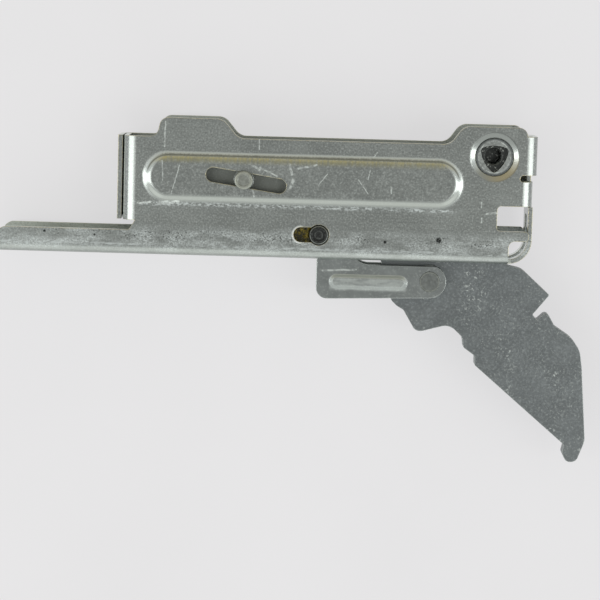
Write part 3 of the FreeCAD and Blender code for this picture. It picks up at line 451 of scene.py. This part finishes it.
# Scratches on the outer wall: both ends and the width, in millimetres.
WALL_SCRATCHES = [
    ((-91.3, 7.3), (-91.5, 0.5), 0.3),
    ((-92.0, -3.4), (-91.7, -8.8), 0.22),
    ((-87.2, -4.7), (-89.3, -12.7), 0.2),
    ((-98.6, -15.4), (-95.1, -15.1), 0.4),
    ((-92.4, -15.2), (-87.4, -14.8), 0.6),
    ((-67.5, -3.8), (-65.0, -5.2), 0.5),
    ((-64.9, -4.6), (-60.0, -7.0), 0.35),
    ((-56.7, -3.7), (-56.0, -6.4), 0.5),
    ((-55.5, -7.6), (-56.6, -10.4), 0.6),
    ((-54.2, -4.6), (-49.2, -3.5), 0.4),
    ((-66.6, -11.3), (-66.4, -12.7), 0.4),
    ((-37.5, -7.3), (-34.8, -11.0), 0.2),
    ((-46.2, -6.0), (-48.7, -9.1), 0.2),
    ((-34.3, -4.6), (-34.9, -7.2), 0.2),
    ((-32.5, 0.4), (-33.6, -1.1), 0.25),
    ((-65.3, 2.9), (-65.2, 0.4), 0.3),
    ((-28.4, -8.9), (-28.3, -10.8), 0.3),
    ((-3.2, -12.7), (-3.2, -14.0), 0.3),
    ((-1.6, -15.9), (0.9, -15.5), 0.5),
    ((-3.0, -17.0), (-3.1, -18.3), 0.3),
]

# Dark pits in the outer wall: place and radius, in millimetres.
WALL_PITS = [
    ((-14.7, -23.6), 1.1),
    ((-29.6, -24.4), 0.6),
    ((-124.3, -23.9), 0.5),
    ((-110.4, -24.6), 0.45),
]


def mottled(name, dark, light, roughness, speck, speckle, warm=0.0):
    """A plain steel between two greys, with grain, light specks, clusters of nicks and painted highlights along
    its edges.
    """
    paint = Paint(name)
    clouds = paint.ramp(paint.noise(0.16, detail=5), 0.35, 0.65)
    grain = paint.noise(1.7, detail=3, shift=30)
    patches = paint.ramp(paint.noise(0.12, detail=3, shift=90), 0.42, 0.62, 0.3, 1.0)
    specks = paint.times(patches, paint.ramp(paint.noise(1.5, detail=5, shift=60), 0.55, 0.70))
    colour = paint.mix(clouds, grey(dark, warm), grey(light, warm))
    colour = paint.mix(paint.times(paint.ramp(grain, 0.5, 0.75), 0.6), colour, grey(light * 1.35, warm))
    colour = paint.mix(paint.times(specks, speckle), colour, grey(speck))
    places = paint.ramp(paint.noise(0.09, detail=2, shift=120), 0.54, 0.66)
    nicks = paint.times(places, paint.ramp(paint.noise(1.2, detail=5, shift=150), 0.57, 0.66))
    colour = paint.mix(paint.times(nicks, speckle), colour, grey(speck * 1.6))
    # Painted highlight: a light line along the edges of the solid.
    colour = paint.mix(paint.times(paint.edges(0.35), 0.7), colour, grey(light * 2.4))
    rough = paint.ramp(grain, 0.3, 0.7, roughness - 0.06, roughness + 0.06)
    return paint.finish(colour, rough, grain)


# Places on the front carrier, in millimetres.
CREST_ACROSS = (-38.7, -35.2)
CREST_ALONG = (-44.6, -23.0)
CARRIER_SCRATCH = ((-46.7, -33.3), (-37.4, -32.8), 0.4)


def carrier_zinc():
    """The carriers: light zinc whose bead crest is rubbed whitish, with one long scratch, and painted highlights
    on the upward faces and the edges.
    """
    paint = Paint("carrier_zinc")
    clouds = paint.ramp(paint.noise(0.2, detail=5), 0.35, 0.65)
    grain = paint.noise(1.6, detail=4, shift=10)
    colour = paint.mix(clouds, grey(0.31, -0.02), grey(0.37, -0.02))
    colour = paint.mix(paint.times(paint.ramp(grain, 0.5, 0.72), 0.6), colour, grey(0.52))
    crest = paint.times(paint.band(paint.y, *CREST_ACROSS, 0.5), paint.band(paint.x, *CREST_ALONG, 0.6))
    strokes = paint.ramp(paint.noise(0.8, stretch=(0.3, 1.4, 1), detail=5, shift=40), 0.36, 0.60)
    rubbed = paint.times(crest, paint.ramp(strokes, 0, 1, 0.4, 1.0))
    colour = paint.mix(paint.times(rubbed, 0.5), colour, grey(0.52))
    # Painted highlights: lighter upward-facing faces and a light line along the edges.
    colour = paint.mix(paint.times(paint.side((0, 1, 0), 0.1, 0.3), 0.7), colour, grey(0.62))
    colour = paint.mix(paint.times(paint.edges(0.3), 0.6), colour, grey(0.80))
    paint.wander(0.2, 0.4)
    scratch = paint.stroke(*CARRIER_SCRATCH)
    broken = paint.ramp(paint.noise(0.7, detail=4, shift=70), 0.34, 0.58, 0.2, 1.0)
    colour = paint.mix(paint.times(scratch, broken), colour, grey(0.80))
    return paint.finish(colour, paint.ramp(rubbed, 0, 1, 0.33, 0.55), grain)


def from_axis(paint, node):
    """The distance of each point from the axis of an upright round node, in millimetres."""
    low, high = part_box(node)
    centre = (low + high) / 2 / MM
    return paint.vector("DISTANCE", paint.flat, (centre.x, centre.y, 0))


def black_steel():
    """The carrier pin: black oxide with faint turning rings and a worn, bright rim."""
    paint = Paint("black_steel", metallic=0.8)
    low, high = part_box("carrier_pin")
    reach = (high.x - low.x) / 2 / MM
    away = from_axis(paint, "carrier_pin")
    rings = paint.math("SINE", paint.times(away, 14.0))
    rim = paint.band(away, reach - 0.32, reach - 0.22, 0.07)
    inner = paint.times(paint.band(away, 0.95, 1.15, 0.12), 0.2)
    worn = paint.times(paint.most([rim, inner]), paint.ramp(paint.noise(1.2), 0.3, 0.6, 0.35, 0.8))
    grain = paint.noise(2.0, detail=3, shift=15)
    colour = paint.mix(paint.ramp(grain, 0.4, 0.7), grey(0.035), grey(0.07))
    colour = paint.mix(worn, colour, grey(0.75, 0.03))
    return paint.finish(colour, paint.ramp(grain, 0.3, 0.7, 0.3, 0.45), rings, depth=0.01)


# Radii of the rivets' heads, in millimetres.
GUIDE_HEAD = 2.6
PIVOT_HEAD = 2.85


def rivet_steel():
    """The rivets: dull zinc with a paler, slightly straw-coloured rim, and a darker pivot."""
    paint = Paint("rivet_steel")
    grain = paint.noise(1.6, detail=4, shift=25)
    clouds = paint.ramp(paint.noise(0.5, shift=45), 0.35, 0.65)
    colour = paint.mix(clouds, grey(0.29, 0.05), grey(0.35, 0.04))
    colour = paint.mix(paint.times(paint.ramp(grain, 0.5, 0.75), 0.5), colour, grey(0.42, 0.04))
    away = from_axis(paint, "guide_rivet")
    rim = paint.band(away, GUIDE_HEAD - 0.75, GUIDE_HEAD - 0.3, 0.2)
    colour = paint.mix(paint.times(rim, 0.6), colour, grey(0.50, 0.10))
    away = from_axis(paint, "pivot_rivet")
    worn = paint.mix(grain, grey(0.15), grey(0.29))
    colour = paint.mix(paint.ramp(away, PIVOT_HEAD + 2, PIVOT_HEAD + 1), colour, worn)
    rim = paint.band(away, PIVOT_HEAD - 0.35, PIVOT_HEAD - 0.15, 0.1)
    colour = paint.mix(paint.times(rim, 0.3), colour, grey(0.50, 0.10))
    return paint.finish(colour, paint.ramp(grain, 0.3, 0.7, 0.38, 0.5), grain)


# Radii on the spacer's end, in millimetres.
OPENING_RIM = (4.3, 4.5)
OPENING_REACH = 4.7
SEAT_RING = (4.75, 5.15)


def dull_zinc():
    """The threaded spacer: pale zinc ends with a painted highlight round the opening, and a black opening, partly
    grease and partly painted shade, with painted glints.
    """
    paint = Paint("dull_zinc")
    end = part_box("threaded_spacer")[1].z / MM
    grain = paint.noise(1.5, detail=4, shift=35)
    colour = paint.mix(paint.ramp(grain, 0.35, 0.65), grey(0.32), grey(0.48))
    away = paint.vector("LENGTH", paint.flat)
    worn = paint.ramp(paint.noise(0.8, shift=55), 0.4, 0.6)
    # Painted highlight: a bright, broken ring round the edge of the opening.
    colour = paint.mix(paint.times(paint.band(away, *OPENING_RIM, 0.12), worn), colour, grey(0.85))
    ring = paint.band(away, *SEAT_RING, 0.15)
    colour = paint.mix(paint.times(ring, 0.85), colour, grey(0.14, -0.06))
    # The opening is dark: partly grease, partly painted shade inside the deep bore, with painted glints.
    below = paint.ramp(paint.math("ABSOLUTE", paint.z), end - 0.1, end - 0.4)
    inside = paint.times(below, paint.ramp(away, OPENING_REACH, OPENING_REACH - 0.2))
    glints = paint.ramp(paint.noise(1.8, detail=4, shift=75), 0.58, 0.68)
    grease_and_painted_shade = paint.mix(glints, grey(0.10), grey(0.60, 0.03))
    colour = paint.mix(inside, colour, grease_and_painted_shade)
    return paint.finish(colour, paint.ramp(inside, 0, 1, 0.36, 0.28), grain)


def grease():
    """Old grease: brown and yellow, glossy, with dark crumbs."""
    paint = Paint("grease", metallic=0.0)
    lumps = paint.noise(1.1, detail=4, shift=5)
    colour = paint.mix(paint.ramp(lumps, 0.44, 0.68), (0.016, 0.014, 0.002), (0.15, 0.115, 0.006))
    paint.shader.inputs["Specular IOR Level"].default_value = 0.25
    return paint.finish(colour, paint.ramp(lumps, 0.3, 0.7, 0.10, 0.3), lumps, depth=0.35, edge=0.1)


FLOOR_EVENNESS = 0.72


def floor_card():
    """The pale matt board under the hinge, of an even tone, so that the shadows on it stay faint."""
    paint = Paint("floor_card", metallic=0.0)
    fibres = paint.noise(0.02, detail=5)
    colour = paint.mix(fibres, (0.795, 0.790, 0.800), (0.825, 0.820, 0.830))
    paint.finish(colour, paint.ramp(fibres, 0.3, 0.7, 0.6, 0.7))
    rays = paint.add("ShaderNodeLightPath").outputs
    seen = paint.most([rays["Is Camera Ray"], rays["Is Glossy Ray"], rays["Is Transmission Ray"]])
    even = paint.add("ShaderNodeEmission")
    paint.feed(even.inputs["Color"], colour)
    both = paint.add("ShaderNodeMixShader")
    paint.feed(both.inputs[0], paint.times(seen, FLOOR_EVENNESS))
    paint.feed(both.inputs[1], paint.shader.outputs[0])
    paint.feed(both.inputs[2], even.outputs[0])
    paint.feed(paint.tree.nodes["Material Output"].inputs["Surface"], both.outputs[0])
    return paint.material


MATERIALS = {
    "zinc_sheet": zinc_sheet(),
    "dull_zinc": dull_zinc(),
    "carrier_zinc": carrier_zinc(),
    "claw_steel": mottled("claw_steel", 0.215, 0.245, roughness=0.42, speck=0.48, speckle=0.75, warm=-0.05),
    "slide_steel": mottled("slide_steel", 0.215, 0.25, roughness=0.55, speck=0.3, speckle=0.3, warm=0.03),
    "rivet_steel": rivet_steel(),
    "black_steel": black_steel(),
    "dark_steel": mottled("dark_steel", 0.22, 0.30, roughness=0.42, speck=0.5, speckle=0.4),
    "spring_steel": mottled("spring_steel", 0.24, 0.32, roughness=0.36, speck=0.5, speckle=0.4),
}


def dress_solids():
    """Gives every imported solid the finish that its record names."""
    for part in frame["record"]["subparts"]:
        node = NODES[part["node"]]
        for slot in node.material_slots:
            slot.material = MATERIALS[part["material_slot"]]


# Pieces


def tube(name, points, radius, sides, material):
    """A closed round wire along a list of points, as one smooth mesh."""
    count = len(points)
    vertices = []
    faces = []
    for index, point in enumerate(points):
        ahead = points[min(index + 1, count - 1)] - points[max(index - 1, 0)]
        aside = Vector((0, 0, 1)) if abs(ahead.normalized().z) < 0.9 else Vector((1, 0, 0))
        across = ahead.cross(aside).normalized()
        upright = across.cross(ahead).normalized()
        for step in range(sides):
            turn = 2 * math.pi * step / sides
            vertices.append(point + radius * (math.cos(turn) * across + math.sin(turn) * upright))
    for index in range(count - 1):
        for step in range(sides):
            after = (step + 1) % sides
            near, far = index * sides, (index + 1) * sides
            faces.append((near + step, near + after, far + after, far + step))
    faces.append(tuple(reversed(range(sides))))
    faces.append(tuple(range((count - 1) * sides, count * sides)))
    return mesh_piece(name, vertices, faces, material)


def mesh_piece(name, vertices, faces, material, smooth=True):
    """A mesh object in the shared frame, shaded smooth or flat."""
    mesh = bpy.data.meshes.new(name)
    mesh.from_pydata([tuple(point) for point in vertices], [], faces)
    mesh.update()
    for face in mesh.polygons:
        face.use_smooth = smooth
    mesh.materials.append(material)
    piece = bpy.data.objects.new(name, mesh)
    bpy.context.scene.collection.objects.link(piece)
    return piece


SPRING_TURNS = 7.0
SPRING_END_TURNS = 0.8
SPRING_STEPS = 40
SPRING_SIDES = 14
SPRING_WIRE = 0.8 * MM
SPRING_MEAN = 3.65 * MM
SPRING_END_PACKING = 0.98


def spring():
    """The coil spring, with closed end turns, built between the ends of the imported spring, which it hides."""
    run = next(joint for joint in frame["joints"] if joint["name"] == "slide_run")
    back = -Vector(run["axis"]).normalized()
    low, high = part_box("guide_rivet")
    guide = Vector(((low.x + high.x) / 2, (low.y + high.y) / 2, 0))
    reach = [(vertex.co - guide).dot(back) for vertex in NODES["spring"].data.vertices]
    first, last = min(reach), max(reach)
    points = coil_line(guide, back, first, last)
    piece = tube("door_spring", points, SPRING_WIRE, SPRING_SIDES, MATERIALS["spring_steel"])
    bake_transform(piece)
    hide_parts("spring")


def coil_line(guide, back, first, last):
    """Points along the middle of the spring's wire, from one closed end to the other."""
    upright = Vector((0, 0, 1))
    across = upright.cross(back)
    turns = SPRING_TURNS + 2 * SPRING_END_TURNS
    steps = int(turns * SPRING_STEPS)
    inner = last - first - 2 * SPRING_WIRE
    end_rise = SPRING_END_TURNS * 2 * SPRING_WIRE * SPRING_END_PACKING
    points = []
    for step in range(steps + 1):
        turn = turns * step / steps
        if turn < SPRING_END_TURNS:
            rise = end_rise * turn / SPRING_END_TURNS
        elif turn > turns - SPRING_END_TURNS:
            rise = inner - end_rise * (turns - turn) / SPRING_END_TURNS
        else:
            rise = end_rise + (inner - 2 * end_rise) * (turn - SPRING_END_TURNS) / SPRING_TURNS
        angle = 2 * math.pi * turn
        spoke = math.cos(angle) * across + math.sin(angle) * upright
        points.append(guide + back * (first + SPRING_WIRE + rise) + SPRING_MEAN * spoke)
    return points


THREAD_PITCH = 0.8 * MM
THREAD_DEPTH = 0.32 * MM
THREAD_FOOT = 0.12 * MM
THREAD_HALF = 0.42 * THREAD_PITCH
THREAD_START = -4.0 * MM
THREAD_SIDES = 40


def thread():
    """The thread in the spacer's bore: one ridge that winds up the wall, with its foot in the metal."""
    mount = next(item for item in frame["record"]["mounts"] if item["name"] == "thread")
    bore = mount["dims"]["r_mm"] * MM
    length = mount["dims"]["length_mm"] * MM
    steps = int((length - 2 * THREAD_PITCH) / THREAD_PITCH * THREAD_SIDES)
    foot = bore + THREAD_FOOT
    vertices = []
    for step in range(steps + 1):
        angle = 2 * math.pi * step / THREAD_SIDES
        fade = min(1.0, 2 * step / THREAD_SIDES, 2 * (steps - step) / THREAD_SIDES)
        crest = bore - THREAD_DEPTH * fade
        height = THREAD_START + THREAD_PITCH + THREAD_PITCH * step / THREAD_SIDES
        for radius, rise in ((foot, -THREAD_HALF), (crest, 0), (foot, THREAD_HALF)):
            vertices.append((radius * math.cos(angle), radius * math.sin(angle), height + rise))
    faces = []
    for step in range(steps):
        near, far = 3 * step, 3 * step + 3
        for corner in range(3):
            after = (corner + 1) % 3
            faces.append((near + corner, far + corner, far + after, near + after))
    faces.append((0, 1, 2))
    faces.append((3 * steps + 2, 3 * steps + 1, 3 * steps))
    piece = mesh_piece("thread_ridge", vertices, faces, MATERIALS["dark_steel"], smooth=False)
    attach(piece, "frame")


GREASE_ROWS = 28
GREASE_COLUMNS = 36
GREASE_GAP = 0.05 * MM
GREASE_HEIGHT = 0.45 * MM
GREASE_RELIEF = 0.28 * MM
GREASE_LUMPS_PER_MM = 0.9


def keyhole_grease():
    """Old grease that fills the narrow part of the keyhole beside the pin, with a lumpy surface."""
    low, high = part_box("carrier_pin")
    pin = (low + high) / 2
    pin_radius = (high.x - low.x) / 2 + GREASE_GAP
    inner_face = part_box("front_carrier_bush")[1].z
    left = pin.x - KEYHOLE_RUN
    top, bottom = [], []
    for row in range(GREASE_ROWS + 1):
        across = (2 * row / GREASE_ROWS - 1) * KEYHOLE_NECK
        start = left - math.sqrt(max(0, KEYHOLE_NECK ** 2 - across ** 2))
        end = pin.x - math.sqrt(pin_radius ** 2 - across ** 2)
        for column in range(GREASE_COLUMNS + 1):
            x = start + (end - start) * column / GREASE_COLUMNS
            y = pin.y + across
            lump = noise.fractal(Vector((x, y, 0)) / MM * GREASE_LUMPS_PER_MM, 1.0, 2.0, 3)
            top.append((x, y, inner_face + GREASE_HEIGHT + GREASE_RELIEF * lump))
            bottom.append((x, y, inner_face))
    faces = cushion_faces(GREASE_ROWS, GREASE_COLUMNS)
    piece = mesh_piece("keyhole_grease", top + bottom, faces, grease())
    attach(piece, "frame")


def cushion_faces(rows, columns):
    """Faces over an upper grid of points, under a lower one, and round the sides between them."""
    width = columns + 1
    count = width * (rows + 1)
    faces = []
    for row in range(rows):
        for column in range(columns):
            first = row * width + column
            square = (first, first + 1, first + width + 1, first + width)
            faces.append(square)
            faces.append(tuple(count + index for index in reversed(square)))
    rim = list(range(width))
    rim += [row * width + columns for row in range(1, rows + 1)]
    rim += [rows * width + column for column in range(columns - 1, -1, -1)]
    rim += [row * width for row in range(rows - 1, 0, -1)]
    for index, here in enumerate(rim):
        after = rim[(index + 1) % len(rim)]
        faces.append((here, count + here, count + after, after))
    return faces


WEB_SPAN = (-6.7 * MM, -4.9 * MM)
WEB_START = 7.3 * MM
WEB_TIP = 5.4 * MM
WEB_STEP = 1.35 * MM
WEB_BEND = 1.65 * MM
WEB_SHEET = 1.25 * MM
WEB_INSET = 0.05 * MM
WEB_ARC_STEPS = 10


def back_flange_web():
    """The stretch of the back wall's right flange that shows through the relief gap in the front one."""
    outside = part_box("channel")[1].x - WEB_STEP - WEB_INSET
    bottom = WEB_INSET - WALL_FACE * MM
    sheet = WEB_SHEET - 2 * WEB_INSET
    turns = [math.radians(90 * step / WEB_ARC_STEPS - 90) for step in range(WEB_ARC_STEPS + 1)]

    def arc(radius):
        """Points round the bend, from the wall to the flange."""
        across = outside - WEB_BEND
        height = bottom + WEB_BEND
        return [(across + radius * math.cos(turn), height + radius * math.sin(turn)) for turn in turns]

    outline = [(WEB_START, bottom), *arc(WEB_BEND), (outside, WEB_TIP), (outside - sheet, WEB_TIP)]
    outline += [*reversed(arc(WEB_BEND - sheet)), (WEB_START, bottom + sheet)]
    count = len(outline)
    vertices = [(x, y, z) for y in WEB_SPAN for x, z in outline]
    faces = [tuple(range(count)), tuple(reversed(range(count, 2 * count)))]
    for index in range(count):
        after = (index + 1) % count
        faces.append((index, count + index, count + after, after))
    piece = mesh_piece("back_flange_web", vertices, faces, MATERIALS["zinc_sheet"], smooth=False)
    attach(piece, "frame")


# Stage


FLOOR_HALF = 2.0


def floor():
    """A wide plain board under the lowest point of the hinge."""
    half = FLOOR_HALF
    low = CAD_BOX[0].z
    corners = [(-half, -half, low), (half, -half, low), (half, half, low), (-half, half, low)]
    board = mesh_piece("floor", corners, [(0, 1, 2, 3)], floor_card())


AIM = Vector((-52.8, -41.3, 9.0)) * MM
CAMERA_DISTANCE = 648 * MM
CAMERA_TILT = math.radians(6.78)
CAMERA_ROLL = math.radians(1.6)
CAMERA_LENS = 139.4
CAMERA_NEAR = 0.01
CAMERA_FAR = 20


def camera():
    """A long lens almost straight above the hinge, as in the photograph."""
    toward = Vector((0, math.sin(CAMERA_TILT), math.cos(CAMERA_TILT)))
    right = Vector((1, 0, 0))
    upward = toward.cross(right)
    axes = Matrix((right, upward, toward)).transposed()
    turn = Matrix.Rotation(CAMERA_ROLL, 3, "Z")
    data = bpy.data.cameras.new("camera")
    data.lens = CAMERA_LENS
    data.clip_start = CAMERA_NEAR
    data.clip_end = CAMERA_FAR
    view = bpy.data.objects.new("camera", data)
    view.matrix_world = Matrix.Translation(AIM + CAMERA_DISTANCE * toward) @ (axes @ turn).to_4x4()
    bpy.context.scene.collection.objects.link(view)
    bpy.context.scene.camera = view


LAMP_DISTANCE = 0.9
LAMP_WIDTH = 0.25
LAMP_LENGTH = 0.9
LAMP_POWER = 1.5


def lamp(name, direction):
    """A faint soft box that looks at the middle of the hinge and shows as a gleam on its bends."""
    data = bpy.data.lights.new(name, "AREA")
    data.shape = "RECTANGLE"
    data.size = LAMP_WIDTH
    data.size_y = LAMP_LENGTH
    data.energy = LAMP_POWER
    box = bpy.data.objects.new(name, data)
    toward = Vector(direction).normalized()
    box.location = AIM + LAMP_DISTANCE * toward
    box.rotation_mode = "QUATERNION"
    box.rotation_quaternion = toward.to_track_quat("Z", "Y")
    bpy.context.scene.collection.objects.link(box)


ROOM_SIDES = (0.72, 0.73, 0.74)
ROOM_FRONT = (1.10, 1.11, 1.10)
ROOM_BACK = (0.60, 0.57, 0.50)
ROOM_OVERHEAD = (0.36, 0.36, 0.36)


def room():
    """A soft grey room: dark overhead, bright beside the hinge's lower edge, dim and warm opposite."""
    world = bpy.data.worlds.new("room")
    bpy.context.scene.world = world
    world.use_nodes = True
    tree = world.node_tree
    background = tree.nodes["Background"]
    coordinates = tree.nodes.new("ShaderNodeTexCoord")
    parts = tree.nodes.new("ShaderNodeSeparateXYZ")
    tree.links.new(coordinates.outputs["Generated"], parts.inputs[0])

    def tone(channel, zero, one, below, colour):
        """Mixes a colour into the room where one part of the direction goes from zero to one."""
        step = tree.nodes.new("ShaderNodeMapRange")
        step.interpolation_type = "SMOOTHSTEP"
        step.inputs["From Min"].default_value = zero
        step.inputs["From Max"].default_value = one
        tree.links.new(parts.outputs[channel], step.inputs["Value"])
        mix = tree.nodes.new("ShaderNodeMix")
        mix.data_type = "RGBA"
        mix.inputs[7].default_value = (*colour, 1)
        tree.links.new(step.outputs["Result"], mix.inputs["Factor"])
        if isinstance(below, bpy.types.NodeSocket):
            tree.links.new(below, mix.inputs[6])
        else:
            mix.inputs[6].default_value = (*below, 1)
        return mix.outputs[2]

    sky = tone("Y", -0.2, -0.6, ROOM_SIDES, ROOM_FRONT)
    sky = tone("Y", 0.15, 0.6, sky, ROOM_BACK)
    sky = tone("Z", 0.80, 0.98, sky, ROOM_OVERHEAD)
    tree.links.new(sky, background.inputs["Color"])
    background.inputs["Strength"].default_value = 1.0


dress_solids()
spring()
thread()
keyhole_grease()
back_flange_web()
floor()
camera()
lamp("left_box", (-0.74, -0.08, 0.66))
lamp("right_box", (0.74, -0.08, 0.66))
room()
bpy.context.scene.view_settings.view_transform = "Standard"
